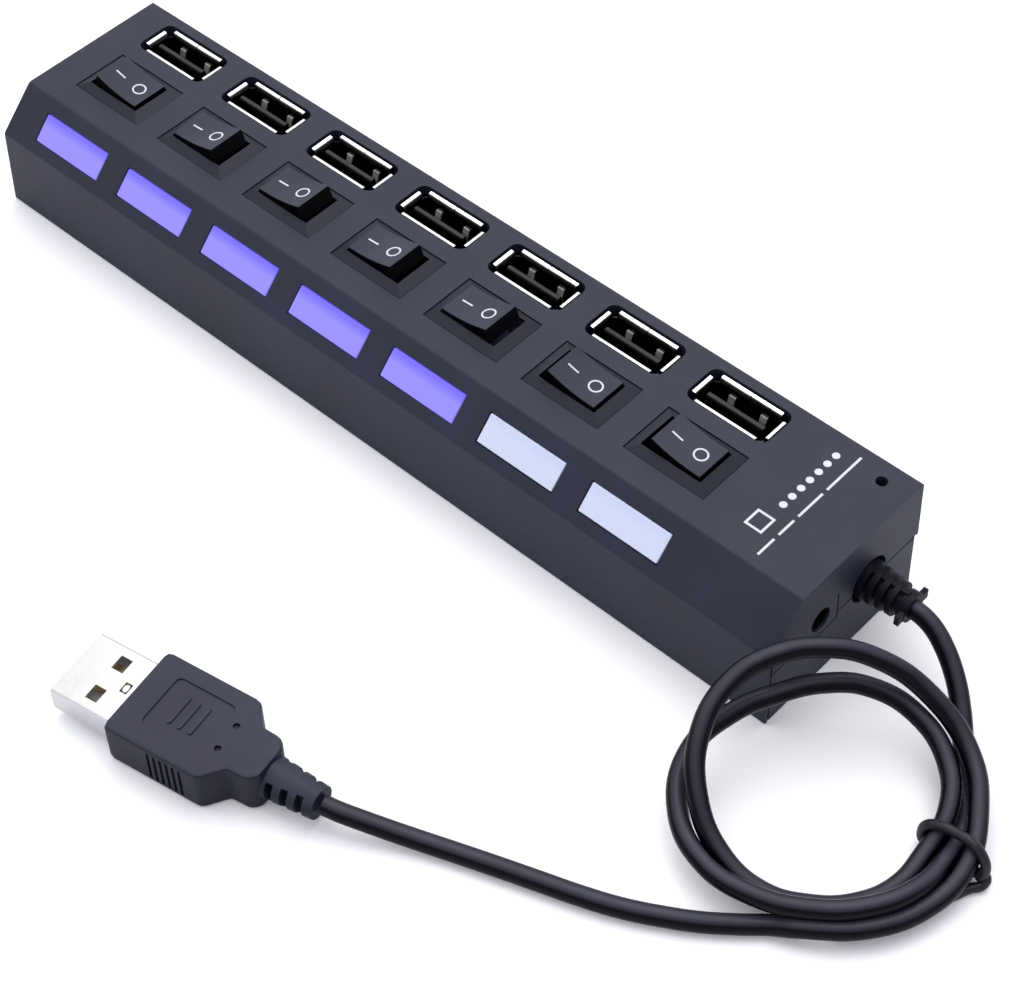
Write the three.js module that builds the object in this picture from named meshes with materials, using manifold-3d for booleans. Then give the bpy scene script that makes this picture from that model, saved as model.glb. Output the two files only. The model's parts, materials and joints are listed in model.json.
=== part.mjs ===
// Seven-port USB hub: every port has its own rocker switch and lamp, with a captive USB-A lead.
// Millimetres. +X runs along the housing to the lead's end, +Y from the lamp side to the port side,
// +Z is up, and the origin is the middle of the housing's underside.
import * as THREE from 'three';
import { mergeVertices } from 'three/addons/utils/BufferGeometryUtils.js';
import Module from 'manifold-3d';

// ---------------------------------------------------------------- driving dimensions
const PORTS = 7;
const PITCH = 20.06;
const UNIT_X = -7.6; // the fourth unit's place along the housing

const HEIGHT = 21.9;
const HALF_LENGTH = 81.8; // at the top; the ends lean out by END_DRAFT towards the bottom
const END_DRAFT = 0.7;
const TOP_BACK = 17.4;
const SIDE_DRAFT = 0.35;
const CHAMFER_Y = 6.8;
const CHAMFER_Z = 7.0;
const WALL = 2.0;

const PORT_Y = 11.55;
const CUTOUT = { x: 15.2, y: 7.65, r: 1.8 };
const RECEPTACLE = { x: 13.1, y: 5.7, sheet: 0.3, r: 0.7, lip: 0.62, mouth: HEIGHT - 0.4 };
const TONGUE = { x: 10.7, y: 1.3, offset: -0.65 };

const SWITCH_Y = -0.73;
const BEZEL = { x: 14.9, y: 10.3, low: HEIGHT - 0.95, edge: HEIGHT - 0.12, rim: HEIGHT + 0.75 };
const SWITCH_BODY = { x: 13.1, y: 8.5, floor: 11.2 };
const OPENING = { x: 11.1, y: 7.1, land: 0.08 };
const ROCKER = { x: 4.62, z: 4.5, hollow: 0.9, width: 6.8, tilt: THREE.MathUtils.degToRad(9.5) };
const ROCKER_PIVOT_Z = HEIGHT - 2.2;
const ROCKER_BELLY = 5.57;
const PIN = { r: 0.85, half: 3.9 };
const OFF_SWITCHES = [1, 6, 7]; // the O end is down on these, and the I end on the others

const WINDOW = { x: 14.9, along: 4.9, thick: 1.7, middle: 0.464 };

const BOARD = { x: 77.5, y: 14.6, z: 4.2, thick: 1.6 };
const BOARD_TOP = BOARD.z + BOARD.thick;
const SEAT = 0.1; // clearance under parts that sit on the board

const SEAM_Z = 10.8;
const SEAM = 0.15; // half the gap between the two mouldings
const JACK = { y: -5.85, z: 12.8, hole: 2.1 };
const GLAND = { y: 5.6, z: 11.3, hole: 4.0, end: 90.1 };
const POWER_LAMP = { x: 77.0, y: 13.7 };
const SCREWS_X = [-57.7, 64.6];

const CABLE_R = 1.5;
const COIL = { x: 98.9, y: -24.7, z: 9.2, long: 19.4, short: 16.3, across: 2.7, deep: 3.1 };
const COIL_TURN = THREE.MathUtils.degToRad(62.5);
const COIL_TILT = THREE.MathUtils.degToRad(19.8);
const TIE_ANGLE = THREE.MathUtils.degToRad(-47);

const PLUG = { x: 4.6, y: -78.55, z: 4.0, yaw: THREE.MathUtils.degToRad(10) };
const PLUG_SHELL = { x: 12.0, z: 4.5, sheet: 0.35, length: 12.6 };
const GRIP = { front: 11.3, shoulder: 27.5, waist: 30.2, rear: 33.5, end: 34.4, half: 7.7, z: 8.0 };
const RELIEF_END = 42.8;

// The cable's centre line where it isn't coiled.
const LEAD_ROUTE = [
  [90.7, 5.6, 11.1], [92.4, 5.6, 10.7], [94.3, 5.3, 10.0], [96.4, 4.6, 9.0], [98.7, 3.5, 7.7],
  [101.0, 2.0, 6.3], [103.2, 0.1, 4.9], [105.4, -2.2, 3.6], [107.5, -4.9, 2.5],
];
const TAIL_ROUTE = [
  [103.7, -43.6, 1.6], [100.8, -46.1, 1.6], [96.6, -49.4, 1.6], [92.0, -52.3, 1.6],
  [87.2, -54.9, 1.6], [82.0, -57.1, 1.6], [76.5, -59.1, 1.6], [71.0, -61.1, 1.6],
  [65.4, -63.2, 1.6], [60.5, -65.2, 1.8], [56.4, -67.1, 2.4], [52.3, -69.1, 3.3],
  [49.3, -70.4, 3.8], [47.2, -71.05, 4.0],
];

// ---------------------------------------------------------------- solids
const wasm = await Module();
wasm.setup();

function solidOf(geometry) {
  const bare = geometry.clone();
  bare.deleteAttribute('normal');
  bare.deleteAttribute('uv');
  const merged = mergeVertices(bare, 1e-4);
  return new wasm.Manifold(new wasm.Mesh({
    numProp: 3,
    vertProperties: new Float32Array(merged.attributes.position.array),
    triVerts: new Uint32Array(merged.index.array),
  }));
}

function geometryOf(solid) {
  const { vertProperties, triVerts } = solid.getMesh();
  const geometry = new THREE.BufferGeometry();
  geometry.setAttribute('position', new THREE.BufferAttribute(new Float32Array(vertProperties), 3));
  geometry.setIndex(new THREE.BufferAttribute(new Uint32Array(triVerts), 1));
  geometry.computeVertexNormals();
  return geometry;
}

function join(...solids) {
  return solids.reduce((sum, solid) => sum.add(solid));
}

function cut(solid, ...tools) {
  return tools.reduce((rest, tool) => rest.subtract(tool), solid);
}

function box(x0, x1, y0, y1, z0, z1) {
  const geometry = new THREE.BoxGeometry(x1 - x0, y1 - y0, z1 - z0);
  geometry.translate((x0 + x1) / 2, (y0 + y1) / 2, (z0 + z1) / 2);
  return solidOf(geometry);
}

function centredBox(x, y, sizeX, sizeY, z0, z1) {
  return box(x - sizeX / 2, x + sizeX / 2, y - sizeY / 2, y + sizeY / 2, z0, z1);
}

const TO_X = new THREE.Matrix4().makeBasis(
  new THREE.Vector3(0, 1, 0), new THREE.Vector3(0, 0, 1), new THREE.Vector3(1, 0, 0));
const TO_Y = new THREE.Matrix4().makeBasis(
  new THREE.Vector3(1, 0, 0), new THREE.Vector3(0, 0, 1), new THREE.Vector3(0, -1, 0));

function extrusion(points, length) {
  return new THREE.ExtrudeGeometry(new THREE.Shape(points), { depth: length, bevelEnabled: false });
}

// An outline in Y and Z, carried along X.
function prismX(points, x0, x1) {
  return solidOf(extrusion(points, x1 - x0).applyMatrix4(TO_X).translate(x0, 0, 0));
}

// An outline in X and Z, carried along Y.
function prismY(points, y0, y1) {
  return solidOf(extrusion(points, y1 - y0).applyMatrix4(TO_Y).translate(0, y1, 0));
}

function prismZ(points, z0, z1) {
  return solidOf(extrusion(points, z1 - z0).translate(0, 0, z0));
}

function cylinder(radiusLow, radiusHigh, length, sides = 24) {
  return new THREE.CylinderGeometry(radiusHigh, radiusLow, length, sides);
}

function rodX(y, z, radius, x0, x1, sides = 24) {
  const geometry = cylinder(radius, radius, x1 - x0, sides).rotateZ(-Math.PI / 2);
  return solidOf(geometry.translate((x0 + x1) / 2, y, z));
}

function rodZ(x, y, radius, z0, z1, sides = 24, radiusTop = radius) {
  const geometry = cylinder(radius, radiusTop, z1 - z0, sides).rotateX(Math.PI / 2);
  return solidOf(geometry.translate(x, y, (z0 + z1) / 2));
}

function pt(x, y) {
  return new THREE.Vector2(x, y);
}

function corners(points) {
  return points.map(([x, y]) => pt(x, y));
}

// Rounds every corner of an outline with a short curve.
function rounded(points, radius, steps = 3) {
  const outline = [];
  points.forEach((corner, i) => {
    const before = points[(i + points.length - 1) % points.length];
    const after = points[(i + 1) % points.length];
    const start = corner.clone().add(before.clone().sub(corner).setLength(radius));
    const end = corner.clone().add(after.clone().sub(corner).setLength(radius));
    outline.push(...new THREE.QuadraticBezierCurve(start, corner, end).getPoints(steps));
  });
  return outline;
}

function rectangle(sizeX, sizeY) {
  const x = sizeX / 2;
  const y = sizeY / 2;
  return [pt(-x, -y), pt(x, -y), pt(x, y), pt(-x, y)];
}

function shifted(points, x, y) {
  return points.map((point) => pt(point.x + x, point.y + y));
}

// ---------------------------------------------------------------- materials
function finish(color, roughness, metalness = 0, more = {}) {
  return new THREE.MeshStandardMaterial({ color, roughness, metalness, ...more });
}

const FINISH = {
  case: finish(0x45454f, 0.62),
  cover: finish(0x484852, 0.6),
  bezel: finish(0x3c3c45, 0.55),
  rocker: finish(0x3e3e48, 0.4),
  metal: finish(0xe6e6e8, 0.22, 1.0),
  tongue: finish(0x35353c, 0.5),
  lampLit: finish(0x918cff, 0.35, 0, { emissive: 0x5a50ff }),
  lampDark: finish(0xcdd2eb, 0.35),
  led: finish(0xe8e8f0, 0.3),
  board: finish(0x1f5a34, 0.5),
  chip: finish(0x17171a, 0.5),
  jack: finish(0x121214, 0.45),
  screw: finish(0x9a9a9e, 0.3, 1.0),
  cable: finish(0x18181c, 0.42),
  grip: finish(0x2c2d35, 0.5),
  insulator: finish(0xd8d8d4, 0.5),
};

const hub = new THREE.Group();

function add(name, solid, material, parent = hub) {
  const mesh = new THREE.Mesh(geometryOf(solid), material);
  mesh.name = name;
  parent.add(mesh);
  return mesh;
}

function unitX(unit) {
  return UNIT_X + (unit - (PORTS + 1) / 2) * PITCH;
}

const UNITS = Array.from({ length: PORTS }, (_, i) => i + 1);

// ---------------------------------------------------------------- housing
const CHAMFER_TOP = pt(-TOP_BACK + CHAMFER_Y, HEIGHT);
const CHAMFER_LOW = pt(-TOP_BACK, HEIGHT - CHAMFER_Z);

function outerOutline() {
  const back = TOP_BACK + SIDE_DRAFT;
  const outline = [pt(-back, 0), pt(back, 0), pt(TOP_BACK, HEIGHT), CHAMFER_TOP, CHAMFER_LOW];
  return rounded(outline, 0.35, 2);
}

function innerOutline() {
  const side = TOP_BACK - WALL;
  return [pt(-side, -1), pt(side, -1), pt(side, HEIGHT - WALL), pt(-9.8, HEIGHT - WALL), pt(-side, 14.1)];
}

// A bar along X whose two ends lean out towards the bottom.
function draftedBar(outline, halfLength) {
  const geometry = extrusion(outline, 2).applyMatrix4(TO_X).translate(-1, 0, 0);
  const place = geometry.attributes.position;
  for (let i = 0; i < place.count; i += 1) {
    const lean = END_DRAFT * (HEIGHT - place.getZ(i)) / HEIGHT;
    place.setX(i, place.getX(i) * (halfLength + lean));
  }
  return solidOf(geometry);
}

function onChamfer(solidGeometry, unit, share, depth) {
  const slope = Math.atan2(CHAMFER_Z, CHAMFER_Y);
  const y = CHAMFER_LOW.x + share * CHAMFER_Y;
  const z = CHAMFER_LOW.y + share * CHAMFER_Z;
  const inward = pt(Math.sin(slope), -Math.cos(slope)).multiplyScalar(depth);
  return solidOf(solidGeometry.rotateX(slope).translate(unitX(unit), y + inward.x, z + inward.y));
}

// The end of the lower cover, as seen from the end; the notch goes round the power jack's surround.
function tabOutline(gap, withNotch) {
  const top = SEAM_Z + gap;
  const low = 9.5 + gap;
  const notch = withNotch
    ? [pt(-1.85 - gap, top), pt(-1.85 - gap, low), pt(-9.9 + gap, low), pt(-9.9 + gap, top)]
    : [];
  return [pt(-16.95 - gap, -gap), pt(16.95 + gap, -gap), pt(16.95 + gap, top), ...notch,
    pt(-16.95 - gap, top)];
}

function portCutout(unit) {
  const outline = rounded(rectangle(CUTOUT.x, CUTOUT.y), CUTOUT.r, 5);
  return prismZ(shifted(outline, unitX(unit), PORT_Y), HEIGHT - WALL - 1, HEIGHT + 1);
}

function switchCutout(unit) {
  const x = unitX(unit);
  const pocket = centredBox(x, SWITCH_Y, BEZEL.x + 0.26, BEZEL.y + 0.26, HEIGHT - 1.0, HEIGHT + 1);
  return join(pocket, centredBox(x, SWITCH_Y, 13.5, 8.9, HEIGHT - WALL - 1, HEIGHT));
}

function windowCutout(unit) {
  return onChamfer(new THREE.BoxGeometry(WINDOW.x + 0.3, WINDOW.along + 0.3, 8), unit, WINDOW.middle, 0);
}

function endOpenings() {
  const wall = [HALF_LENGTH - WALL - 0.3, HALF_LENGTH + 2];
  const tabs = [
    prismX(tabOutline(SEAM, true), ...wall),
    prismX(tabOutline(SEAM, false), -wall[1], -wall[0]),
  ];
  const slits = [
    box(wall[0], wall[1], -2.0, -1.7, 9.5, 15.0),
    box(wall[0], wall[1], -17.1, -16.8, 9.0, 12.9),
  ];
  const groove = box(HALF_LENGTH - 0.1, wall[1], 16.9, 19, -1, SEAM_Z);
  const jackHole = rodX(JACK.y, JACK.z, JACK.hole, wall[0], wall[1], 28);
  const glandHole = rodX(GLAND.y, GLAND.z, GLAND.hole, wall[0], wall[1], 28);
  return [...tabs, ...slits, groove, jackHole, glandHole];
}

function upperShell() {
  const body = cut(draftedBar(outerOutline(), HALF_LENGTH), draftedBar(innerOutline(), HALF_LENGTH - WALL));
  const bosses = SCREWS_X.map((x) => cut(
    rodZ(x, SWITCH_Y, 2.9, BOARD_TOP + 0.3, HEIGHT - WALL + 0.5, 20),
    rodZ(x, SWITCH_Y, 1.5, BOARD_TOP, HEIGHT - 5, 16),
  ));
  const lampHole = rodZ(POWER_LAMP.x, POWER_LAMP.y, 0.95, HEIGHT - WALL - 1, HEIGHT + 1, 20);
  return cut(
    join(body, ...bosses),
    ...UNITS.map(portCutout),
    ...UNITS.map(switchCutout),
    ...UNITS.map(windowCutout),
    ...endOpenings(),
    lampHole,
  );
}

function lowerCover() {
  const inside = HALF_LENGTH - WALL;
  const outside = draftedBar(outerOutline(), HALF_LENGTH);
  const tabs = [
    prismX(tabOutline(-SEAM, true), inside, HALF_LENGTH + 2),
    prismX(tabOutline(-SEAM, false), -HALF_LENGTH - 2, -inside),
  ];
  const plate = box(-inside - 1, inside + 1, -15.2, 15.2, 0, 2.0);
  const posts = [-66, 0, 66].flatMap((x) => [-7.5, 7.5].map((y) => rodZ(x, y, 2.4, 1.5, BOARD.z - 0.3, 16)));
  const glandHole = rodX(GLAND.y, GLAND.z, GLAND.hole, inside - 1, HALF_LENGTH + 3, 28);
  const screwHoles = SCREWS_X.map((x) => join(
    rodZ(x, SWITCH_Y, 3.1, -1, 1.3, 24),
    rodZ(x, SWITCH_Y, 1.6, -1, 3, 16),
  ));
  return cut(join(plate, ...tabs, ...posts).intersect(outside), glandHole, ...screwHoles);
}

function screw(x) {
  const drive = [0, 90].map((turn) => {
    const bar = new THREE.BoxGeometry(3.0, 0.6, 1.4).rotateZ(THREE.MathUtils.degToRad(turn));
    return solidOf(bar.translate(x, SWITCH_Y, 0));
  });
  return cut(
    join(rodZ(x, SWITCH_Y, 2.75, 0.1, 1.2, 24), rodZ(x, SWITCH_Y, 1.2, 1.0, 14, 16)),
    ...drive,
  );
}

// ---------------------------------------------------------------- ports
function lip(half, width) {
  const { sheet, lip: out, mouth } = RECEPTACLE;
  const section = [
    pt(half - sheet, mouth - 1.0), pt(half, mouth - 1.0), pt(half, mouth - 0.5),
    pt(half + out, mouth - 0.2), pt(half + out, mouth + 0.08), pt(half + 0.1, mouth),
    pt(half - sheet, mouth - 0.7),
  ];
  return prismX(section, -width / 2, width / 2);
}

function portShell() {
  const { x, y, sheet, r } = RECEPTACLE;
  const low = BOARD_TOP + 0.3;
  const high = RECEPTACLE.mouth - 0.85;
  const tube = cut(
    prismZ(rounded(rectangle(x, y), r, 3), low, high),
    prismZ(rounded(rectangle(x - 2 * sheet, y - 2 * sheet), r - 0.25, 3), low - 1, high + 1),
  );
  const turned = (solid, degrees) => solid.rotate([0, 0, degrees]);
  const lips = [
    lip(y / 2, 11.4), turned(lip(y / 2, 11.4), 180),
    turned(lip(x / 2, 4.2), 90), turned(lip(x / 2, 4.2), -90),
  ];
  const seam = box(-0.07, 0.07, y / 2 - sheet - 0.3, y / 2 + 2, HEIGHT - 6, HEIGHT + 1);
  return cut(join(tube, ...lips), seam);
}

function portTongue() {
  const { x, y, offset } = TONGUE;
  const inner = RECEPTACLE.y - 2 * RECEPTACLE.sheet - 0.3;
  const base = centredBox(0, 0, RECEPTACLE.x - 2 * RECEPTACLE.sheet - 0.3, inner, BOARD_TOP + 0.3, 10);
  const top = HEIGHT - 0.6;
  const section = [
    pt(offset - y / 2, 9), pt(offset + y / 2, 9), pt(offset + y / 2, top - 0.35),
    pt(offset + y / 2 - 0.35, top), pt(offset - y / 2 + 0.35, top), pt(offset - y / 2, top - 0.35),
  ];
  return join(base, prismX(section, -x / 2, x / 2));
}

// ---------------------------------------------------------------- switches
// The rocker's outline when level, about its pivot: a hollow top, two leaning ends and a round belly.
function rockerOutline() {
  const top = pt(ROCKER.x, ROCKER.z);
  const middle = pt(0, ROCKER.z - ROCKER.hollow);
  const hollow = new THREE.QuadraticBezierCurve(top, middle, pt(-top.x, top.y)).getPoints(8);
  const belly = [159, 168, 177].map((angle) => THREE.MathUtils.degToRad(angle));
  const left = belly.map((angle) => pt(Math.cos(angle), Math.sin(angle)).multiplyScalar(ROCKER_BELLY));
  const right = left.map((point) => pt(-point.x, point.y)).reverse();
  return [...hollow, ...left, ...right];
}

function rocker() {
  const half = ROCKER.width / 2;
  const pin = solidOf(cylinder(PIN.r, PIN.r, 2 * PIN.half, 24));
  return join(prismY(rockerOutline(), -half, half), pin);
}

// A block whose top face is smaller than its bottom one.
function taperedBox(lowX, lowY, highX, highY, z0, z1) {
  const geometry = new THREE.BoxGeometry(lowX, lowY, z1 - z0);
  const place = geometry.attributes.position;
  for (let i = 0; i < place.count; i += 1) {
    if (place.getZ(i) > 0) {
      place.setX(i, place.getX(i) * highX / lowX);
      place.setY(i, place.getY(i) * highY / lowY);
    }
  }
  return solidOf(geometry.translate(0, 0, (z0 + z1) / 2));
}

function switchHousing() {
  const { floor } = SWITCH_BODY;
  const { low, edge, rim } = BEZEL;
  const land = 2 * OPENING.land;
  const frame = join(
    centredBox(0, 0, BEZEL.x, BEZEL.y, low, edge),
    taperedBox(BEZEL.x, BEZEL.y, OPENING.x + land, OPENING.y + land, edge, rim),
  );
  const body = centredBox(0, 0, SWITCH_BODY.x, SWITCH_BODY.y, floor, low + 0.2);
  const cavity = centredBox(0, 0, 11.7, 7.3, ROCKER_PIVOT_Z - 4.0, HEIGHT - 0.4);
  const opening = centredBox(0, 0, OPENING.x, OPENING.y, HEIGHT - 0.6, rim + 1);
  const bearing = new THREE.CylinderGeometry(PIN.r + 0.1, PIN.r + 0.1, 2 * PIN.half + 0.2, 24);
  const terminals = [-4.4, 0, 4.4].map((x) => centredBox(x, 0, 0.8, 2.6, BOARD_TOP + 0.3, floor + 0.5));
  const holder = cut(join(frame, body), cavity, opening, solidOf(bearing.translate(0, 0, ROCKER_PIVOT_Z)));
  return join(holder, ...terminals);
}

// ---------------------------------------------------------------- parts on the board
function board() {
  const plate = box(-BOARD.x, BOARD.x, -BOARD.y, BOARD.y, BOARD.z, BOARD_TOP);
  return cut(plate, ...SCREWS_X.map((x) => rodZ(x, SWITCH_Y, 1.6, 0, 10, 16)));
}

function lampLed(radius, length) {
  const seat = BOARD_TOP + SEAT;
  const dome = new THREE.SphereGeometry(radius * 0.98, 12, 6);
  return join(
    rodZ(0, 0, radius * 1.12, seat, seat + 1, 12),
    rodZ(0, 0, radius, seat, seat + length, 12),
    solidOf(dome.translate(0, 0, seat + length)),
  );
}

function powerLamp() {
  const seat = BOARD_TOP + SEAT;
  return join(rodZ(0, 0, 1.5, seat, seat + 8, 16), rodZ(0, 0, 0.8, seat + 7, HEIGHT - 4.5, 16));
}

function powerJack() {
  const face = HALF_LENGTH - WALL - 0.3;
  const body = box(face - 10, face, JACK.y - 3.7, JACK.y + 3.7, BOARD_TOP + SEAT, 16.4);
  const bore = rodX(JACK.y, JACK.z, 1.95, face - 8.5, face + 1, 24);
  return join(cut(body, bore), rodX(JACK.y, JACK.z, 0.6, face - 9, face - 0.6, 12));
}

// ---------------------------------------------------------------- cable
// Ribs round a thin core, tied by a bar above and below, with two ears on the last one.
function gland() {
  const wall = HALF_LENGTH - WALL;
  const disc = rodX(0, 0, GLAND.hole - 0.7, wall - 2.2, 82.9, 28);
  const flange = rodX(0, 0, 4.9, wall - 2.2, wall - 0.5, 28);
  const core = rodX(0, 0, 1.9, 82.5, GLAND.end - 1, 20);
  const ribs = [3.15, 3.0, 2.85].map((radius, step) => {
    const x = 83.5 + step * 1.65;
    return rodX(0, 0, radius, x, x + 0.95, 28);
  });
  const bars = box(82.5, GLAND.end - 1, -0.45, 0.45, -2.75, 2.75);
  const collar = rodX(0, 0, 2.45, GLAND.end - 1.55, GLAND.end, 24);
  const ears = box(GLAND.end - 0.9, GLAND.end - 0.1, -3.6, 3.6, -0.9, 0.9);
  return join(disc, flange, core, ...ribs, bars, collar, ears);
}

function cablePiece(route, steps) {
  const curve = new THREE.CatmullRomCurve3(route.map((point) => new THREE.Vector3(...point)));
  const ring = Array.from({ length: 8 }, (_, i) => {
    const angle = (i + 0.5) * Math.PI / 4;
    return pt(CABLE_R * Math.cos(angle), CABLE_R * Math.sin(angle));
  });
  return solidOf(new THREE.ExtrudeGeometry(new THREE.Shape(ring), { steps, extrudePath: curve }));
}

// A ring about Z with an oval section.
function ringSolid(radius, across, deep, sides, segments) {
  const section = Array.from({ length: sides + 1 }, (_, i) => {
    const angle = (i % sides) * 2 * Math.PI / sides;
    return pt(radius + across * Math.cos(angle), deep * Math.sin(angle));
  });
  return new THREE.LatheGeometry(section, segments).rotateX(Math.PI / 2);
}

function coil() {
  const middle = 18;
  const ring = ringSolid(middle, COIL.across, COIL.deep, 10, 40);
  return solidOf(ring.scale(COIL.long / middle, COIL.short / middle, 1));
}

// A loop round the coil's bundle, with its twisted end outside.
function tie() {
  const loop = ringSolid(3.6, 0.6, 0.6, 8, 20).scale(0.97, 1.1, 1);
  const knot = new THREE.CapsuleGeometry(1.2, 2.6, 3, 8).rotateZ(0.5).translate(5.1, -0.6, 0.5);
  return join(solidOf(loop), solidOf(knot));
}

// ---------------------------------------------------------------- plug
function gripOutline() {
  const half = GRIP.half;
  const near = [[GRIP.front, half], [GRIP.shoulder, half], [GRIP.waist, 4.3], [GRIP.rear, 4.2],
    [GRIP.end, 3.3]];
  const far = near.map(([x, y]) => [x, -y]).reverse();
  return rounded(corners([...far, ...near]), 0.5, 2);
}

function reliefSlots() {
  return [0, 1, 2].flatMap((step) => {
    const x = GRIP.end + 0.9 + step * 2.4;
    return [box(x, x + 1.15, 1.2, 5, -2.2, 2.2), box(x, x + 1.15, -5, -1.2, -2.2, 2.2)];
  });
}

function plugGrip() {
  const bevel = 0.7;
  const inner = gripOutline().map((point) => {
    const rear = point.x > 20 ? -bevel * 0.5 : bevel * 0.5;
    return pt(point.x + rear, point.y - Math.sign(point.y) * bevel);
  });
  const body = solidOf(new THREE.ExtrudeGeometry(new THREE.Shape(inner), {
    depth: GRIP.z - 2 * bevel, bevelThickness: bevel, bevelSize: bevel, bevelSegments: 2,
  }).translate(0, 0, -GRIP.z / 2 + bevel));
  const cone = cylinder(3.35, 2.6, RELIEF_END - GRIP.end + 1, 16).rotateZ(-Math.PI / 2);
  const relief = solidOf(cone.translate((RELIEF_END + GRIP.end - 1) / 2, 0, 0));
  const pocket = centredBox(GRIP.front + 0.5, 0, 3.4, PLUG_SHELL.x + 0.3, -2.4, 2.4);
  const panel = prismZ(shifted(rounded(rectangle(10.4, 9.2), 1.1, 3), 20.4, 0.2), GRIP.z / 2 - 0.25, 9);
  const dimples = [-2.2, 2.2].map((y) => rodZ(27.2, y, 0.55, GRIP.z / 2 - 0.6, 9, 12));
  const grooves = [0, 1, 2, 3, 4, 5].flatMap((step) => [-1, 1].map((side) => {
    const x = 18.6 + step * 1.1;
    return box(x, x + 0.5, side > 0 ? 7.35 : -9, side > 0 ? 9 : -7.35, -3.0, 3.0);
  }));
  return cut(join(body, relief), pocket, panel, ...dimples, ...grooves, ...reliefSlots());
}

function plugShell() {
  const { x, z, sheet, length } = PLUG_SHELL;
  const outline = rounded(rectangle(x, z), 0.45, 2);
  const bore = rounded(rectangle(x - 2 * sheet, z - 2 * sheet), 0.25, 2);
  const tube = cut(prismX(outline, 0, length), prismX(bore, -1, length + 1));
  const windows = [-3.0, 3.0].map((y) => centredBox(6.0, y, 2.0, 2.5, -5, 5));
  const latch = centredBox(9.1, 0, 1.2, 1.8, 0, 5);
  return cut(tube, ...windows, latch);
}

function plugInsulator() {
  const { x, z, sheet, length } = PLUG_SHELL;
  const block = box(1.0, length - 0.2, -x / 2 + sheet + 0.15, x / 2 - sheet - 0.15, -z / 2 + sheet + 0.15, -0.1);
  const filler = box(9.9, length - 0.2, -5.2, 5.2, -0.2, z / 2 - sheet - 0.15);
  return join(block, filler);
}

// ---------------------------------------------------------------- assembly
add('upper_shell', upperShell(), FINISH.case);
add('lower_cover', lowerCover(), FINISH.cover);
add('board', board(), FINISH.board);

UNITS.forEach((unit) => {
  const x = unitX(unit);
  const off = OFF_SWITCHES.includes(unit);
  add(`port_shell_${unit}`, portShell(), FINISH.metal).position.set(x, PORT_Y, 0);
  add(`port_tongue_${unit}`, portTongue(), FINISH.tongue).position.set(x, PORT_Y, 0);
  add(`switch_housing_${unit}`, switchHousing(), FINISH.bezel).position.set(x, SWITCH_Y, 0);
  const button = add(`rocker_${unit}`, rocker(), FINISH.rocker);
  button.position.set(x, SWITCH_Y, ROCKER_PIVOT_Z);
  button.rotation.y = off ? ROCKER.tilt : -ROCKER.tilt;
  const pane = new THREE.BoxGeometry(WINDOW.x, WINDOW.along, WINDOW.thick);
  const lampFinish = unit <= 5 ? FINISH.lampLit : FINISH.lampDark;
  add(`lamp_window_${unit}`, onChamfer(pane, unit, WINDOW.middle, WINDOW.thick / 2 + 0.03), lampFinish);
  add(`lamp_led_${unit}`, lampLed(1.4, 6.5), FINISH.led).position.set(x, -12.1, 0);
});

add('power_lamp', powerLamp(), FINISH.led).position.set(POWER_LAMP.x, POWER_LAMP.y, 0);
add('power_jack', powerJack(), FINISH.jack);
[-37.7, 22.4].forEach((x, i) => {
  add(`hub_chip_${i + 1}`, centredBox(x, -10, 7, 7, BOARD_TOP + SEAT, BOARD_TOP + 1.3), FINISH.chip);
});
SCREWS_X.forEach((x, i) => add(`cover_screw_${i + 1}`, screw(x), FINISH.screw));

const strainRelief = add('cable_gland', gland(), FINISH.grip);
strainRelief.position.set(0, GLAND.y, GLAND.z);

add('cable_lead', cablePiece(LEAD_ROUTE, 9), FINISH.cable);
add('cable_tail', cablePiece(TAIL_ROUTE, 22), FINISH.cable);

const hank = new THREE.Group();
hank.position.set(COIL.x, COIL.y, COIL.z);
hank.rotation.set(COIL_TILT, 0, COIL_TURN, 'ZYX');
hub.add(hank);
add('cable_coil', coil(), FINISH.cable, hank);
const band = add('cable_tie', tie(), FINISH.cable, hank);
band.position.set(COIL.long * Math.cos(TIE_ANGLE), COIL.short * Math.sin(TIE_ANGLE), 0);
const across = Math.atan2(COIL.short * Math.cos(TIE_ANGLE), -COIL.long * Math.sin(TIE_ANGLE));
band.rotation.set(Math.PI / 2, across - Math.PI / 2, 0, 'XYZ');

const plug = new THREE.Group();
plug.position.set(PLUG.x, PLUG.y, PLUG.z);
plug.rotation.z = PLUG.yaw;
hub.add(plug);
add('plug_grip', plugGrip(), FINISH.grip, plug);
add('plug_shell', plugShell(), FINISH.metal, plug);
add('plug_insulator', plugInsulator(), FINISH.insulator, plug);

export default hub;
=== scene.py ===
# The looks of the seven-port USB hub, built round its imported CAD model.
# Metres, +Z up, in the CAD's own frame.
import json
import math

import bmesh
import bpy
from mathutils import Matrix, Vector


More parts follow.
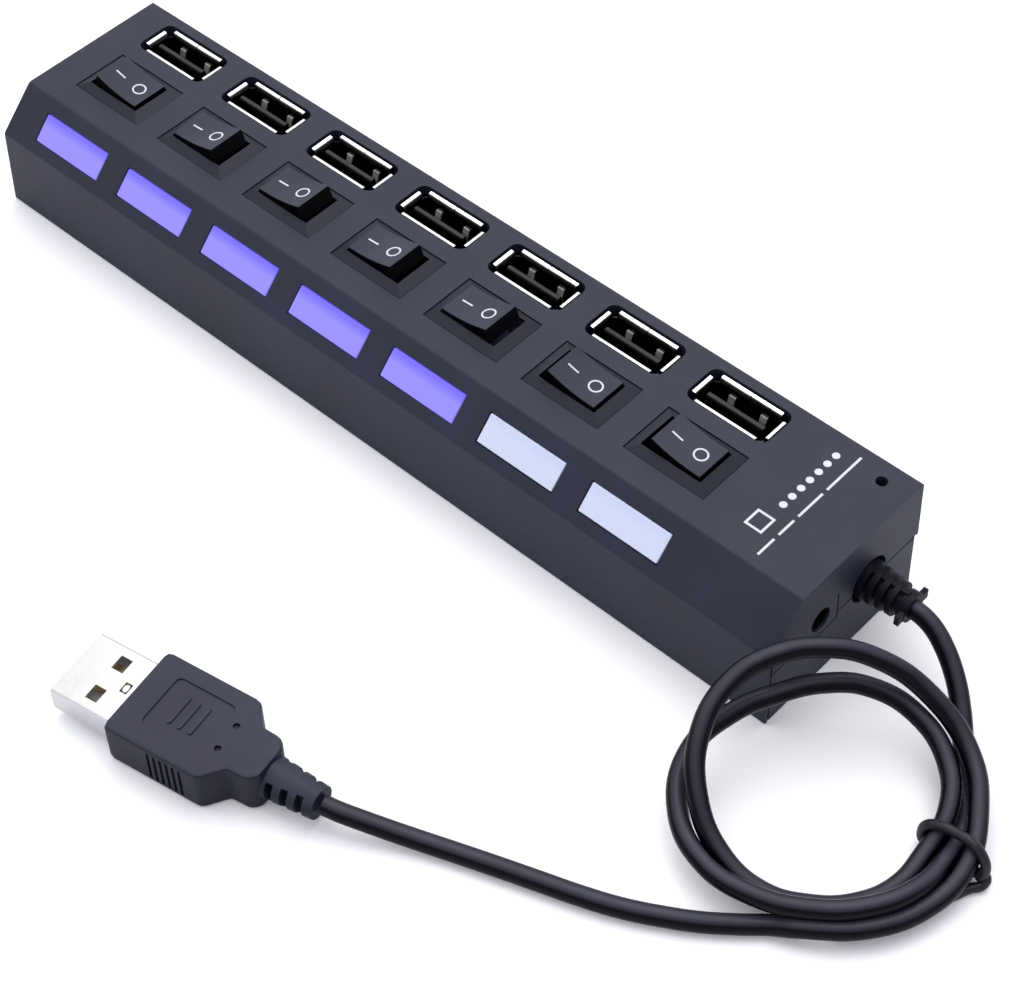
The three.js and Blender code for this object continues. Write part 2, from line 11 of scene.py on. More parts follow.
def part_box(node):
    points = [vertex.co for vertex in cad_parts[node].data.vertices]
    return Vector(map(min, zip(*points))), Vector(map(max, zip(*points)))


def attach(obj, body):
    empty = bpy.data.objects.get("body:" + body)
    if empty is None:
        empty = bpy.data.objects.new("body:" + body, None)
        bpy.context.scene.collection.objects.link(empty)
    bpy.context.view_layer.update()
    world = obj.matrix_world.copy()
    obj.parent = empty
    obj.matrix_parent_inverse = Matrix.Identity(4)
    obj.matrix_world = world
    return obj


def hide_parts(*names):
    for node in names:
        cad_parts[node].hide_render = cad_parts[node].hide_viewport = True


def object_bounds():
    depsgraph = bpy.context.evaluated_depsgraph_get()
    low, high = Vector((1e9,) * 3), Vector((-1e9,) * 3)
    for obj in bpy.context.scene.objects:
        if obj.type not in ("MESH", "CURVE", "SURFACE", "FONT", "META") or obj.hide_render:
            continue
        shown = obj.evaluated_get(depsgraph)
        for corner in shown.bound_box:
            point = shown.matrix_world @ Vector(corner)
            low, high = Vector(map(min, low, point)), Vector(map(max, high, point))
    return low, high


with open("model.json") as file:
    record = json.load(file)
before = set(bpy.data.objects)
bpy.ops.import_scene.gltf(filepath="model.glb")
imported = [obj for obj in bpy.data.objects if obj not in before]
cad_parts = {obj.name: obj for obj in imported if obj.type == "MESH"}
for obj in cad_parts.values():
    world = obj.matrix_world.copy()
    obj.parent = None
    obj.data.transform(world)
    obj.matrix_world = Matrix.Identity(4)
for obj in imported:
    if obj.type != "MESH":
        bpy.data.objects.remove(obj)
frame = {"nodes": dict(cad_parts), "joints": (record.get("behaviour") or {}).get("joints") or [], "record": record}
cad_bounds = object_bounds()
nodes = frame["nodes"]

MM = 0.001
PORTS = 7
HOUSING = "housing"
scene = bpy.context.scene
scene.view_settings.view_transform = "Standard"
scene.view_settings.look = "None"

# ---------------------------------------------------------------- camera
CAMERA_TARGET = Vector((0.02586, -0.01085, 0.0))
CAMERA_DISTANCE = 0.37342
CAMERA_AZIMUTH = math.radians(43.351)
CAMERA_ELEVATION = math.radians(50.022)
CAMERA_ROLL = math.radians(-1.18)
CAMERA_LENS = 86.13


def make_camera():
    data = bpy.data.cameras.new("camera")
    data.sensor_width = 36
    data.lens = CAMERA_LENS
    camera = bpy.data.objects.new("camera", data)
    scene.collection.objects.link(camera)
    flat = math.cos(CAMERA_ELEVATION)
    back = Vector((math.sin(CAMERA_AZIMUTH) * flat, -math.cos(CAMERA_AZIMUTH) * flat,
                   math.sin(CAMERA_ELEVATION)))
    camera.rotation_mode = "QUATERNION"
    level = (-back).to_track_quat("-Z", "Y")
    camera.rotation_quaternion = level @ Matrix.Rotation(CAMERA_ROLL, 3, "Z").to_quaternion()
    camera.location = CAMERA_TARGET + back * CAMERA_DISTANCE
    data.clip_start, data.clip_end = 0.01, 10
    scene.camera = camera


make_camera()


# ---------------------------------------------------------------- materials
def blank(name):
    material = bpy.data.materials.new(name)
    material.use_nodes = True
    tree = material.node_tree
    return material, tree, tree.nodes["Principled BSDF"]


def object_coordinates(tree, output="Object"):
    return tree.nodes.new("ShaderNodeTexCoord").outputs[output]


def z_node(tree, output):
    """The height in object coordinates, or the Z of the surface's normal."""
    split = tree.nodes.new("ShaderNodeSeparateXYZ")
    tree.links.new(object_coordinates(tree, output), split.inputs["Vector"])
    return split.outputs["Z"]


def noise_node(tree, vector, scale, detail=3.0, roughness=0.5):
    noise = tree.nodes.new("ShaderNodeTexNoise")
    noise.inputs["Scale"].default_value = scale
    noise.inputs["Detail"].default_value = detail
    noise.inputs["Roughness"].default_value = roughness
    tree.links.new(vector, noise.inputs["Vector"])
    return noise.outputs["Fac"]


def ramp_node(tree, factor, stops):
    """A colour ramp through (place, colour) stops."""
    ramp = tree.nodes.new("ShaderNodeValToRGB")
    elements = ramp.color_ramp.elements
    while len(elements) < len(stops):
        elements.new(0.5)
    for element, (place, colour) in zip(elements, stops):
        element.position = place
        element.color = (*colour, 1)
    tree.links.new(factor, ramp.inputs["Fac"])
    return ramp.outputs["Color"]


def range_node(tree, factor, low, high, from_low=0.3, from_high=0.7):
    span = tree.nodes.new("ShaderNodeMapRange")
    span.inputs["From Min"].default_value = from_low
    span.inputs["From Max"].default_value = from_high
    span.inputs["To Min"].default_value = low
    span.inputs["To Max"].default_value = high
    tree.links.new(factor, span.inputs["Value"])
    return span.outputs["Result"]


def bump_node(tree, height, distance, strength=1.0):
    bump = tree.nodes.new("ShaderNodeBump")
    bump.inputs["Distance"].default_value = distance
    bump.inputs["Strength"].default_value = strength
    tree.links.new(height, bump.inputs["Height"])
    return bump.outputs["Normal"]


def shade(colour, factor):
    return tuple(min(1.0, channel * factor) for channel in colour)


def plastic(name, colour, rough, grain=4000, depth=0.00001, spread=0.12, specular=0.32):
    """A moulded or extruded plastic: a fine grain, slightly uneven tone and gloss."""
    material, tree, shader = blank(name)
    vector = object_coordinates(tree)
    broad = noise_node(tree, vector, 90, 2)
    fine = noise_node(tree, vector, grain, 2, 0.6)
    stops = [(0.35, shade(colour, 1 - spread)), (0.65, shade(colour, 1 + spread))]
    tone = ramp_node(tree, broad, stops)
    tree.links.new(tone, shader.inputs["Base Color"])
    tree.links.new(range_node(tree, fine, rough - 0.06, rough + 0.06), shader.inputs["Roughness"])
    tree.links.new(bump_node(tree, fine, depth), shader.inputs["Normal"])
    shader.inputs["Specular IOR Level"].default_value = specular
    return material


def mix_node(tree, factor, low, high):
    """A colour between two colours or sockets."""
    mix = tree.nodes.new("ShaderNodeMix")
    mix.data_type = "RGBA"
    sockets = [socket for socket in mix.inputs if socket.type == "RGBA"]
    tree.links.new(factor, mix.inputs["Factor"])
    for socket, value in zip(sockets, (low, high)):
        if isinstance(value, tuple):
            socket.default_value = (*value, 1)
        else:
            tree.links.new(value, socket)
    return next(socket for socket in mix.outputs if socket.type == "RGBA")


def painted_side_light(material, side, low=0.75, high=0.95):
    """Painted light and shade: another base tone where the surface doesn't face up, standing in for how the light
    falls on its sides. Low and high bound the change, as its normal's Z.
    """
    tree = material.node_tree
    shader = tree.nodes["Principled BSDF"]
    top = range_node(tree, z_node(tree, "Normal"), 0, 1, low, high)
    tone = shader.inputs["Base Color"].links[0].from_socket
    tree.links.new(mix_node(tree, top, side, tone), shader.inputs["Base Color"])
    return material


def metal(name, colour, rough):
    """Plated or rolled metal with faint drawing lines."""
    material, tree, shader = blank(name)
    lines = noise_node(tree, object_coordinates(tree), 900, 3)
    tone = ramp_node(tree, lines, [(0.3, shade(colour, 0.93)), (0.7, colour)])
    tree.links.new(tone, shader.inputs["Base Color"])
    tree.links.new(range_node(tree, lines, rough - 0.05, rough + 0.07), shader.inputs["Roughness"])
    tree.links.new(bump_node(tree, lines, 0.000004), shader.inputs["Normal"])
    shader.inputs["Metallic"].default_value = 1
    return material


def window_material(name, low, high, glow):
    """A translucent lamp window: its tone changes from its lower edge to its upper one."""
    material, tree, shader = blank(name)
    corner_low, corner_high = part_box("lamp_window_1")
    height = range_node(tree, z_node(tree, "Object"), 0, 1, corner_low.z + 0.001, corner_high.z)
    tone = ramp_node(tree, height, [(0.0, low), (0.62, low), (0.9, high)])
    tree.links.new(tone, shader.inputs["Base Color"])
    shader.inputs["Roughness"].default_value = 0.35
    cloud = noise_node(tree, object_coordinates(tree), 700, 2)
    tree.links.new(bump_node(tree, cloud, 0.000006), shader.inputs["Normal"])
    if glow:
        tree.links.new(tone, shader.inputs["Emission Color"])
        shader.inputs["Emission Strength"].default_value = glow
    return material


def socket_metal():
    """The sockets' plating: bright at the mouth, with painted shade further in, where it turns near-black below
    the mouth.
    """
    material = metal("socket_metal", (0.93, 0.93, 0.92), 0.2)
    tree = material.node_tree
    shader = tree.nodes["Principled BSDF"]
    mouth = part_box("port_shell_1")[1].z
    inside = range_node(tree, z_node(tree, "Object"), 0, 1, mouth - 0.0003, mouth - 0.00015)
    tone = shader.inputs["Base Color"].links[0].from_socket
    # Painted shade: below the mouth the plating's base colour is mixed towards near-black.
    tree.links.new(mix_node(tree, inside, (0.03, 0.03, 0.032), tone), shader.inputs["Base Color"])
    return material


BLACK = (0.0145, 0.016, 0.034)
SWITCH_BLACK = shade(BLACK, 0.62)
GLAND_BLACK = shade(BLACK, 0.3)
# Painted shade: what doesn't face up is painted nearly black on the rockers, the sockets' tongues and the cable,
# standing in for the shade on their sides.
ROCKER_PAINTED_SHADE = shade(BLACK, 0.02)
TONGUE_PAINTED_SHADE = (0.001, 0.001, 0.001)
CABLE_PAINTED_SHADE = (0.001, 0.001, 0.003)


def make_materials():
    rocker = plastic("rocker_plastic", (0.043, 0.045, 0.063), 0.42, 5200, 0.000003, specular=0.08)
    tongue = plastic("tongue_plastic", (0.045, 0.044, 0.046), 0.45, 4200, 0.000006, specular=0.06)
    grip = plastic("moulded_grip", (0.030, 0.031, 0.049), 0.48, 3600, 0.000012, specular=0.2)
    jacket = plastic("cable_jacket", (0.045, 0.0455, 0.063), 0.28, 900, 0.000002, specular=0.13)
    plating = metal("plated_metal", (0.445, 0.437, 0.435), 0.24)
    made = [
        plastic("case_plastic", BLACK, 0.52, 3600, 0.000014),
        plastic("cover_plastic", shade(BLACK, 1.05), 0.5, 3600, 0.000012),
        plastic("switch_plastic", SWITCH_BLACK, 0.46, 4200, 0.000008, specular=0.26),
        # Painted shade: the rockers' sides are painted nearly black; their tops keep the lighter base.
        painted_side_light(rocker, ROCKER_PAINTED_SHADE),
        socket_metal(),
        # Painted light: the plating's sides get a lighter base than its tops.
        painted_side_light(plating, (0.69, 0.675, 0.69)),
        metal("spring_metal", (0.96, 0.95, 0.93), 0.55),
        # Painted shade: the tongues' sides are painted nearly black.
        painted_side_light(tongue, TONGUE_PAINTED_SHADE),
        window_material("window_lit", (0.10, 0.09, 0.36), (0.06, 0.05, 0.36), 2.0),
        window_material("window_unlit", (0.62, 0.66, 0.84), (0.58, 0.62, 0.82), 0),
        plastic("lamp_body", (0.8, 0.82, 0.9), 0.2, depth=0.000002, spread=0.03),
        plastic("circuit_board", (0.02, 0.12, 0.05), 0.35, 1500, 0.000006),
        plastic("chip_plastic", (0.012, 0.012, 0.013), 0.5, depth=0.000006),
        # Painted shade: the socket's near-black is partly its own black plastic and partly painted shade, standing
        # in for the dark inside of its hole.
        plastic("jack_plastic", (0.001, 0.001, 0.001), 0.5, depth=0.000006, specular=0.1),
        metal("screw_steel", (0.6, 0.6, 0.6), 0.32),
        # Painted shade: the grip's sides get a darker base than its top.
        painted_side_light(grip, shade(BLACK, 0.6), 0.3, 0.9),
        plastic("gland_plastic", GLAND_BLACK, 0.5, 3600, 0.000012, specular=0.14),
        # Painted highlight and shade: the cable's top keeps a lighter base that stands in for its sheen, and its
        # underside is painted nearly black.
        painted_side_light(jacket, CABLE_PAINTED_SHADE, 0.7, 1.0),
        plastic("tie_plastic", (0.009, 0.0095, 0.015), 0.36, 2600, 0.000008),
        plastic("plug_insulator", (0.34, 0.33, 0.31), 0.45, depth=0.000006, spread=0.04),
        plastic("print_ink", (0.62, 0.62, 0.66), 0.5, 5000, 0.000002, spread=0.03),
        metal("contact_gold", (0.62, 0.47, 0.26), 0.3),
    ]
    # Blender numbers a name that is already taken, so only the part before the point is the slot.
    return {material.name.split(".")[0]: material for material in made}


MATERIALS = make_materials()


# ---------------------------------------------------------------- making pieces
def dressed(piece, slot, material=None):
    piece.data.materials.clear()
    piece.data.materials.append(MATERIALS[material or slot])
    return piece


def riding(piece, slot, body=HOUSING, material=None):
    dressed(piece, slot, material)
    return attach(piece, body)


def new_curve(name, radius, cyclic=False, sides=6):
    data = bpy.data.curves.new(name, "CURVE")
    data.dimensions = "3D"
    data.bevel_depth = radius
    data.bevel_resolution = sides
    data.resolution_u = 10
    data.use_fill_caps = not cyclic
    piece = bpy.data.objects.new(name, data)
    scene.collection.objects.link(piece)
    return piece


def smooth_curve(name, points, radius, cyclic=False, sides=6):
    """A round rod along a smooth line through the points."""
    piece = new_curve(name, radius, cyclic, sides)
    spline = piece.data.splines.new("BEZIER")
    spline.bezier_points.add(len(points) - 1)
    spline.use_cyclic_u = cyclic
    for knot, point in zip(spline.bezier_points, points):
        knot.co = point
        knot.handle_left_type = knot.handle_right_type = "AUTO"
    return piece


def new_mesh(name, shape):
    data = bpy.data.meshes.new(name)
    shape.to_mesh(data)
    shape.free()
    piece = bpy.data.objects.new(name, data)
    scene.collection.objects.link(piece)
    return piece


def soft_edges(piece, width, segments=3, angle=28):
    """Clean facets, rounded edges and smooth shading, all as modifiers."""
    weld = piece.modifiers.new("weld", "WELD")
    weld.merge_threshold = 0.000002
    flat = piece.modifiers.new("flat", "DECIMATE")
    flat.decimate_type = "DISSOLVE"
    flat.angle_limit = math.radians(1.5)
    bevel = piece.modifiers.new("bevel", "BEVEL")
    bevel.width = width
    bevel.segments = segments
    bevel.limit_method = "ANGLE"
    bevel.angle_limit = math.radians(angle)
    bevel.use_clamp_overlap = True
    weighted = piece.modifiers.new("weighted", "WEIGHTED_NORMAL")
    weighted.weight = 90
    weighted.keep_sharp = False
    for face in piece.data.polygons:
        face.use_smooth = True


# ---------------------------------------------------------------- cable
CABLE_DIAMETER = 0.003
COIL_CENTRE = Vector((0.0983, -0.0244, 0.0))
COIL_START = 36
COIL_STEP = 24
# The cable's distance from the coil's centre and its height, in mm, every COIL_STEP degrees clockwise.
COIL_STATIONS = [
    (19.1, 1.7), (17.9, 3.4), (17.9, 4.9), (17.7, 5.2), (17.8, 5.0),
    (18.7, 4.7), (20.2, 4.8), (20.7, 5.5), (19.8, 7.1), (17.1, 8.9),
    (15.2, 10.1), (15.3, 10.5), (16.9, 9.4), (18.0, 7.4), (17.9, 5.4),
    (16.6, 4.2), (14.8, 2.2), (14.8, 1.6), (14.9, 1.6), (15.2, 1.7),
    (16.2, 2.2), (17.2, 4.3), (18.1, 8.4), (18.4, 12.5), (17.9, 15.5),
    (16.8, 17.3), (16.5, 17.3), (17.8, 15.1), (20.0, 10.5), (21.2, 6.2),
    (20.6, 4.9), (20.7, 3.7), (20.1, 3.0), (19.6, 3.0),
]
CABLE_INSIDE_GLAND = (0.0885, 0.0056, 0.0112)
LEAD_ROUTE = [
    (0.0907, 0.0056, 0.0111), (0.0924, 0.0056, 0.0107), (0.0943, 0.0053, 0.0100),
    (0.0964, 0.0046, 0.0090), (0.0987, 0.0035, 0.0077), (0.1010, 0.0020, 0.0063),
    (0.1032, 0.0001, 0.0049), (0.1054, -0.0022, 0.0036), (0.1075, -0.0049, 0.0025),
]
ONTO_COIL = (0.1096, -0.0078, 0.0018)
OFF_COIL = (0.1073, -0.0417, 0.0026)
TAIL_ROUTE = [
    (0.1037, -0.0436, 0.0016), (0.1008, -0.0461, 0.0016), (0.0966, -0.0494, 0.0016),
    (0.0920, -0.0523, 0.0016), (0.0872, -0.0549, 0.0016), (0.0820, -0.0571, 0.0016),
    (0.0765, -0.0591, 0.0016), (0.0710, -0.0611, 0.0016), (0.0654, -0.0632, 0.0016),
    (0.0605, -0.0652, 0.0018), (0.0564, -0.0671, 0.0024), (0.0523, -0.0691, 0.0033),
    (0.0493, -0.0704, 0.0038), (0.0472, -0.07105, 0.0040),
]


def coil_place(radius, height, degrees):
    """A point given by its distance from the coil's centre and its height, in mm, and its bearing."""
    angle = math.radians(degrees)
    offset = Vector((radius * math.cos(angle), radius * math.sin(angle), height))
    return COIL_CENTRE + offset * MM


def make_cable():
    turns = [coil_place(*station, COIL_START - step * COIL_STEP)
             for step, station in enumerate(COIL_STATIONS)]
    points = [CABLE_INSIDE_GLAND, *LEAD_ROUTE, ONTO_COIL, *turns, OFF_COIL, *TAIL_ROUTE]
    cable = smooth_curve("cable", points, CABLE_DIAMETER / 2)
    riding(cable, "cable_jacket")
    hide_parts("cable_lead", "cable_coil", "cable_tail")
    return cable


# The tie goes once round the strands of cable. Distance, height and bearing, as coil_place takes them.
TIE_RADIUS = 0.75 * MM
TIE_LOOP = [
    (22.7, 1.5, 14.2), (23.2, 3.0, 14.9), (22.5, 5.1, 16.3), (20.5, 6.4, 18.4), (17.9, 6.1, 21.3),
    (15.6, 5.6, 23.8), (14.0, 4.5, 25.2), (13.5, 2.7, 25.4), (13.9, 1.1, 24.6), (15.5, 0.75, 22.6),
    (18.2, 0.8, 20.0), (20.8, 1.0, 17.4), (22.3, 1.7, 15.6), (23.3, 2.5, 16.9),
]
TIE_TAIL = [
    (22.3, 1.9, 15.6), (23.5, 1.9, 14.8), (23.5, 1.0, 13.2), (22.1, 0.8, 9.6), (21.0, 0.76, 4.4),
    (20.2, 0.76, -1), (19.9, 0.76, -12), (19.5, 0.76, -25), (18.9, 0.76, -38), (18.4, 0.76, -48),
]


def make_tie():
    for name, route in (("tie_loop", TIE_LOOP), ("tie_tail", TIE_TAIL)):
        wire = smooth_curve(name, [coil_place(*point) for point in route], TIE_RADIUS)
        riding(wire, "tie_plastic")
        if name == "tie_loop":
            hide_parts("cable_tie")
        yield wire


cable = make_cable()
tie = list(make_tie())


# ---------------------------------------------------------------- printed marks
def slab(shape, rim, low, high):
    """A closed flat piece: an outline, or an outer and an inner outline, between two heights."""
    rings = [[[shape.verts.new((*point, level)) for point in outline] for level in (low, high)]
             for outline in rim]
    for side, (bottom, top) in enumerate(rings):
        count = len(bottom)
        for i in range(count):
            j = (i + 1) % count
            corners = (bottom[i], bottom[j], top[j], top[i])
            shape.faces.new(corners if side == 0 else corners[::-1])
    if len(rings) == 1:
        shape.faces.new(rings[0][1])
        shape.faces.new(rings[0][0][::-1])
        return
    (low_out, high_out), (low_in, high_in) = rings
    count = len(low_out)
    for i in range(count):
        j = (i + 1) % count
        shape.faces.new((high_out[i], high_out[j], high_in[j], high_in[i]))
        shape.faces.new((low_out[j], low_out[i], low_in[i], low_in[j]))


def circle(x, y, radius, sides=40):
    turn = [2 * math.pi * i / sides for i in range(sides)]
    return [(x + radius * math.cos(angle), y + radius * math.sin(angle)) for angle in turn]


def block(x, length, width, steps=6):
    """A rectangle cut into short steps along X, so that it can follow a curved top."""
    across = [x - length / 2 + length * i / steps for i in range(steps + 1)]
    return [(at, -width / 2) for at in across] + [(at, width / 2) for at in reversed(across)]


def rounded_bar(x, y, width, length, steps=8):
    """An outline with half-round ends, longer along Y."""
    radius = width / 2
    reach = length / 2 - radius
    ends = []
    for side, start in ((1, 0.0), (-1, math.pi)):
        for i in range(steps + 1):
            angle = start + math.pi * i / steps
            ends.append((x + radius * math.cos(angle), y + side * reach + radius * math.sin(angle)))
    return ends


# The marks on a rocker, in mm from its pin: a ring and a bar that follow its hollow top.
MARK_LINE = 0.28
RING = {"x": 2.1, "radius": 1.2}
BAR = {"x": -2.35, "length": 2.1}
INK_ABOVE = 0.025
INK_BELOW = -0.06
ROCKER_TOP = {"x": 4.62, "z": 4.5, "sag": 0.45}


def rocker_top(x):
    """The height of a level rocker's hollow top above its pivot, in mm."""
    return ROCKER_TOP["z"] - ROCKER_TOP["sag"] * (1 - (x / ROCKER_TOP["x"]) ** 2)


def make_marks(joint):
    """The ring and bar printed on one rocker, which is half its travel away from level."""
    shape = bmesh.new()
    ring = [circle(RING["x"], 0, RING["radius"] - inset) for inset in (0, MARK_LINE)]
    slab(shape, ring, INK_BELOW, INK_ABOVE)
    slab(shape, [block(BAR["x"], BAR["length"], MARK_LINE)], INK_BELOW, INK_ABOVE)
    for corner in shape.verts:
        corner.co.z += rocker_top(corner.co.x)
    tilt = -math.radians(sum(joint["range_deg"]) / 2)
    pin = Matrix.Translation(Vector(joint["pos_m"]))
    place = pin @ Matrix.Rotation(tilt, 4, "Y") @ Matrix.Scale(MM, 4)
    bmesh.ops.transform(shape, matrix=place, verts=shape.verts)
    riding(new_mesh(f"marks_{joint['child']}", shape), "print_ink", joint["child"])


for joint in frame["joints"]:
    make_marks(joint)


def rectangle(x0, x1, y0, y1):
    return [(x0, y0), (x1, y0), (x1, y1), (x0, y1)]


# The print on the top, in mm.
SQUARE = [rectangle(67.0, 70.2, -5.4, -2.0), rectangle(67.4, 69.8, -5.0, -2.4)]
DOTS = {"x": 69.2, "y": 0.9, "step": 2.05, "radius": 0.62}
RULES_X = (71.95, 72.35)
RULES_Y = [(-8.6, -4.9), (-3.9, -0.4), (0.6, 6.2), (7.2, 15.3)]


def make_top_print():
    """A plain square, seven dots for the ports and four rules, printed beside the last port."""
    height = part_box("upper_shell")[1].z / MM
    shape = bmesh.new()
    levels = (height - 0.05, height + 0.02)
    slab(shape, SQUARE, *levels)
    for port in range(PORTS):
        slab(shape, [circle(DOTS["x"], DOTS["y"] + DOTS["step"] * port, DOTS["radius"], 24)], *levels)
    for start, end in RULES_Y:
        slab(shape, [rectangle(*RULES_X, start, end)], *levels)
    bmesh.ops.transform(shape, matrix=Matrix.Scale(MM, 4), verts=shape.verts)
    riding(new_mesh("top_print", shape), "print_ink")


make_top_print()


# ---------------------------------------------------------------- port springs and contacts
# Profiles of bent sheet, in mm: out from the middle of the socket and down from its mouth for a spring,
# and out from the tongue's face and down from its tip for a contact.
LEAF_THICKNESS = 0.22
SPRING = {"profile": [(2.6, -7.5), (2.15, -5.6), (1.8, -3.9), (1.85, -3.3), (2.3, -2)],
          "width": 1.2, "at": (-3.0, 3.0)}
CONTACT = {"profile": [(0.0, -10.0), (0.18, -6.8), (0.34, -5.8), (0.3, -4.8), (-0.1, -4.2)],
           "width": 1.0, "at": (-3.5, -1.0, 1.0, 3.5)}


def leaf(shape, profile, middle, width):
    """A bent strip of sheet: (y, z) points carried along X, closed by its own thickness."""
    rings = []
    for x in (middle - width / 2, middle + width / 2):
        outer = [shape.verts.new((x, y, z)) for y, z in profile]
        inner = [shape.verts.new((x, y + LEAF_THICKNESS, z)) for y, z in reversed(profile)]
        rings.append(outer + inner)
    count = len(rings[0])
    for i in range(count):
        j = (i + 1) % count
        shape.faces.new((rings[0][i], rings[0][j], rings[1][j], rings[1][i]))
    shape.faces.new(rings[0][::-1])
    shape.faces.new(rings[1])


def make_port_springs(port):
    """Two sprung leaves stand in from each long wall of a socket, and four contacts lie on its tongue."""
    low, high = (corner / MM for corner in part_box(f"port_shell_{port}"))
    middle = (low + high) / 2
    tongue_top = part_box(f"port_tongue_{port}")[1].z / MM
    shape = bmesh.new()
    for at in SPRING["at"]:
        leaf(shape, SPRING["profile"], at, SPRING["width"])
    turned = shape.copy()
    bmesh.ops.rotate(turned, matrix=Matrix.Rotation(math.pi, 3, "Z"), verts=turned.verts)
    spare = bpy.data.meshes.new("spare")
    turned.to_mesh(spare)
    turned.free()
    shape.from_mesh(spare)
    bpy.data.meshes.remove(spare)
    bmesh.ops.recalc_face_normals(shape, faces=shape.faces)
    place = Matrix.Scale(MM, 4) @ Matrix.Translation((middle.x, middle.y, high.z))
    bmesh.ops.transform(shape, matrix=place, verts=shape.verts)
    riding(new_mesh(f"port_springs_{port}", shape), "plated_metal", material="spring_metal")
    contacts = bmesh.new()
    for at in CONTACT["at"]:
        leaf(contacts, CONTACT["profile"], at, CONTACT["width"])
    bmesh.ops.recalc_face_normals(contacts, faces=contacts.faces)
    place = Matrix.Scale(MM, 4) @ Matrix.Translation((middle.x, middle.y, tongue_top))
    bmesh.ops.transform(contacts, matrix=place, verts=contacts.verts)
    riding(new_mesh(f"port_contacts_{port}", contacts), "contact_gold")


for port in range(1, PORTS + 1):
    make_port_springs(port)


# ---------------------------------------------------------------- plug
PLUG_PLACE = Matrix.Translation((0.0046, -0.07855, 0.0040)) @ Matrix.Rotation(math.radians(10), 4, "Z")


def make_plug_details():
    """Three short ridges on the grip's panel and four contacts inside the shell, in the plug's own frame."""
    ridges = bmesh.new()
    for at in (18.6, 20.4, 22.2):
        slab(ridges, [rounded_bar(at, 0.2, 0.7, 5.2)], 3.65, 3.98)
    contacts = bmesh.new()
    for at in (-3.5, -1.0, 1.0, 3.5):
        slab(contacts, [rectangle(1.6, 9.0, at - 0.5, at + 0.5)], -0.14, 0.02)
    latch = bmesh.new()
    slab(latch, [rounded_bar(9.1, 0, 0.75, 1.35)], 1.75, 2.15)
    details = (("grip_ridges", ridges, "moulded_grip"), ("plug_contacts", contacts, "contact_gold"),
               ("plug_latch", latch, "plated_metal"))
    for name, shape, slot in details:
        bmesh.ops.transform(shape, matrix=PLUG_PLACE @ Matrix.Scale(MM, 4), verts=shape.verts)
        riding(new_mesh(name, shape), slot)


make_plug_details()


# ---------------------------------------------------------------- power socket
JACK_HEIGHT = 0.0128
SLEEVE_RADII = (2.07, 1.8)


def make_jack_sleeve():
    """The black barrel of the power socket lines its hole in the housing's end wall."""
    low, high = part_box("power_jack")
    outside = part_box("upper_shell")[1].x / MM
    jack = Vector((high.x, (low.y + high.y) / 2, JACK_HEIGHT)) / MM
    shape = bmesh.new()
    slab(shape, [circle(0, 0, radius) for radius in SLEEVE_RADII], 0.05, outside - jack.x - 0.75)
    along_x = Matrix.Rotation(math.radians(90), 4, "Y")
    place = Matrix.Scale(MM, 4) @ Matrix.Translation(jack) @ along_x
    bmesh.ops.transform(shape, matrix=place, verts=shape.verts)
    riding(new_mesh("jack_sleeve", shape), "jack_plastic")


make_jack_sleeve()


# ---------------------------------------------------------------- CAD pieces that keep their shape
# How far the edges of the CAD pieces are rounded. A numbered piece is listed without its number.
EDGES = {
    "upper_shell": 0.00022, "lower_cover": 0.00015, "cable_gland": 0.0002, "plug_grip": 0.0003,
    "plug_shell": 0.0001, "power_jack": 0.0001, "plug_insulator": 0.0001, "port_shell": 0.00008,
    "port_tongue": 0.00015, "switch_housing": 0.00015, "rocker": 0.0002, "lamp_window": 0.0002,
}
# Pieces whose material isn't their slot's own.
OWN_MATERIAL = {"port_shell": "socket_metal", "cable_gland": "gland_plastic"}


def dress_nodes():
    slots = {row["node"]: row["material_slot"] for row in frame["record"]["subparts"]}
    for name, piece in nodes.items():
        if piece.hide_render:
            continue
        kind = name.rstrip("_1234567")
        if kind in EDGES:
            soft_edges(piece, EDGES[kind])
        dressed(piece, slots[name], OWN_MATERIAL.get(kind))


dress_nodes()


# ---------------------------------------------------------------- floor and light
SKY_AXIS = (-0.5, 0.15, 0.85)
SKY_STOPS = [(0.0, (0.42, 0.43, 0.47)), (0.42, (0.42, 0.43, 0.47)), (0.56, (0.72, 0.73, 0.77)),
             (0.8, (0.97, 0.98, 1.0))]
SKY_STRENGTH = 1.4
FLOOR_GAP = 0.00002
FLOOR_GLOW = 0.10  # lifts the shadows on the paper
FLOOR_BOUNCE = (0.72, 0.72, 0.75)  # the paper lights the object less than its own white would


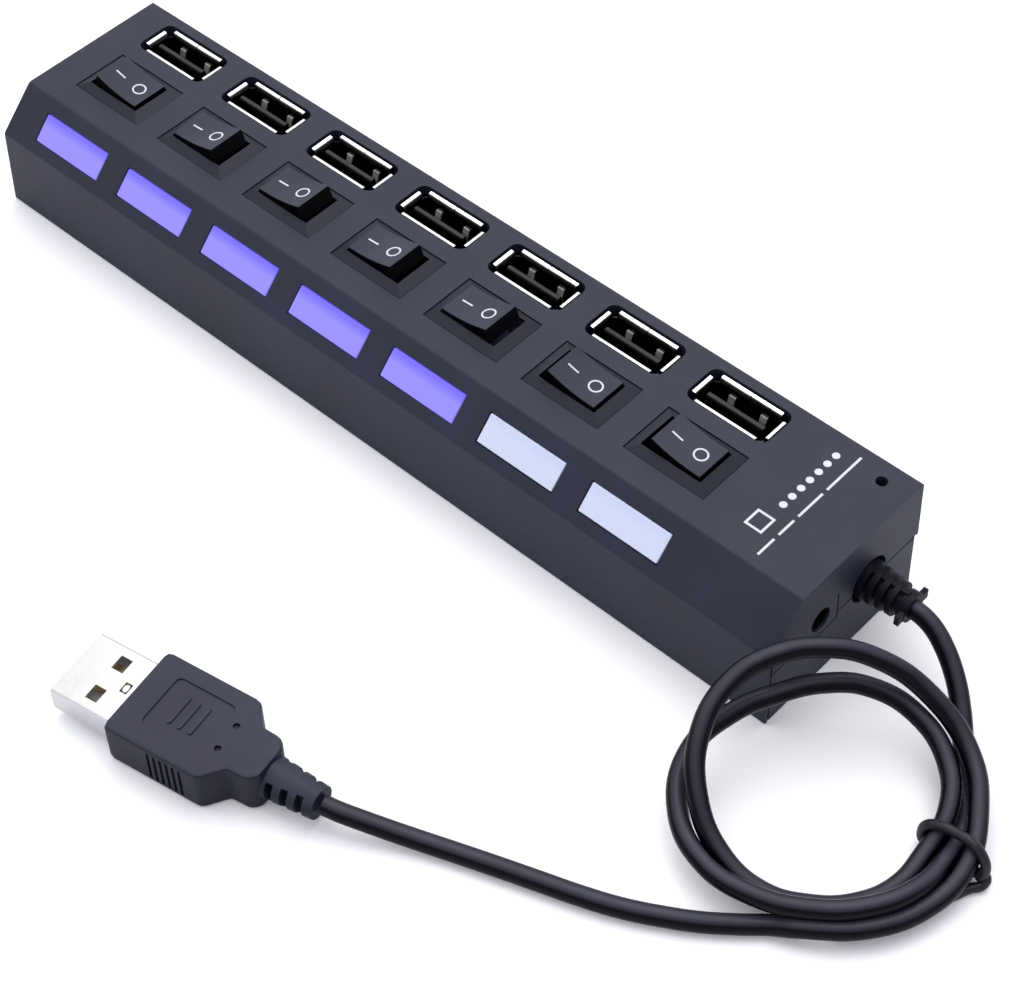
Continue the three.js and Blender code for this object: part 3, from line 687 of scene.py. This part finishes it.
def sky_world():
    """White to the camera; for lighting, bright overhead and dimmer towards the horizon."""
    world = bpy.data.worlds.new("studio")
    scene.world = world
    world.use_nodes = True
    tree = world.node_tree
    coordinates = tree.nodes.new("ShaderNodeTexCoord")
    toward = tree.nodes.new("ShaderNodeVectorMath")
    toward.operation = "DOT_PRODUCT"
    toward.inputs[1].default_value = SKY_AXIS
    tree.links.new(coordinates.outputs["Generated"], toward.inputs[0])
    sky = ramp_node(tree, toward.outputs["Value"], SKY_STOPS)
    path = tree.nodes.new("ShaderNodeLightPath")
    seen = mix_node(tree, path.outputs["Is Camera Ray"], sky, (1.0, 1.0, 1.0))
    tree.links.new(seen, tree.nodes["Background"].inputs["Color"])
    tree.nodes["Background"].inputs["Strength"].default_value = SKY_STRENGTH


def softbox(name, place, aim, size, watts):
    data = bpy.data.lights.new(name, "AREA")
    data.shape = "SQUARE"
    data.size = size
    data.energy = watts
    light = bpy.data.objects.new(name, data)
    light.location = place
    light.rotation_euler = (Vector(aim) - Vector(place)).to_track_quat("-Z", "Y").to_euler()
    scene.collection.objects.link(light)


def make_stage():
    shape = bmesh.new()
    bmesh.ops.create_grid(shape, x_segments=1, y_segments=1, size=3)
    floor = new_mesh("floor", shape)
    floor.location.z = min(-FLOOR_GAP, cad_bounds[0].z - FLOOR_GAP)
    material, tree, shader = blank("floor_paper")
    blotches = noise_node(tree, object_coordinates(tree), 40)
    tone = ramp_node(tree, blotches, [(0.3, (0.93, 0.93, 0.95)), (0.7, (0.95, 0.95, 0.97))])
    path = tree.nodes.new("ShaderNodeLightPath")
    seen = mix_node(tree, path.outputs["Is Camera Ray"], FLOOR_BOUNCE, tone)
    tree.links.new(seen, shader.inputs["Base Color"])
    shader.inputs["Roughness"].default_value = 0.8
    shader.inputs["Specular IOR Level"].default_value = 0.2
    shader.inputs["Emission Color"].default_value = (0.95, 0.96, 1.0, 1)
    shader.inputs["Emission Strength"].default_value = FLOOR_GLOW
    floor.data.materials.append(material)
    sky_world()
    softbox("top_light", (-0.1, 0.25, 0.9), (0.02, 0, 0), 0.8, 4.0)


make_stage()
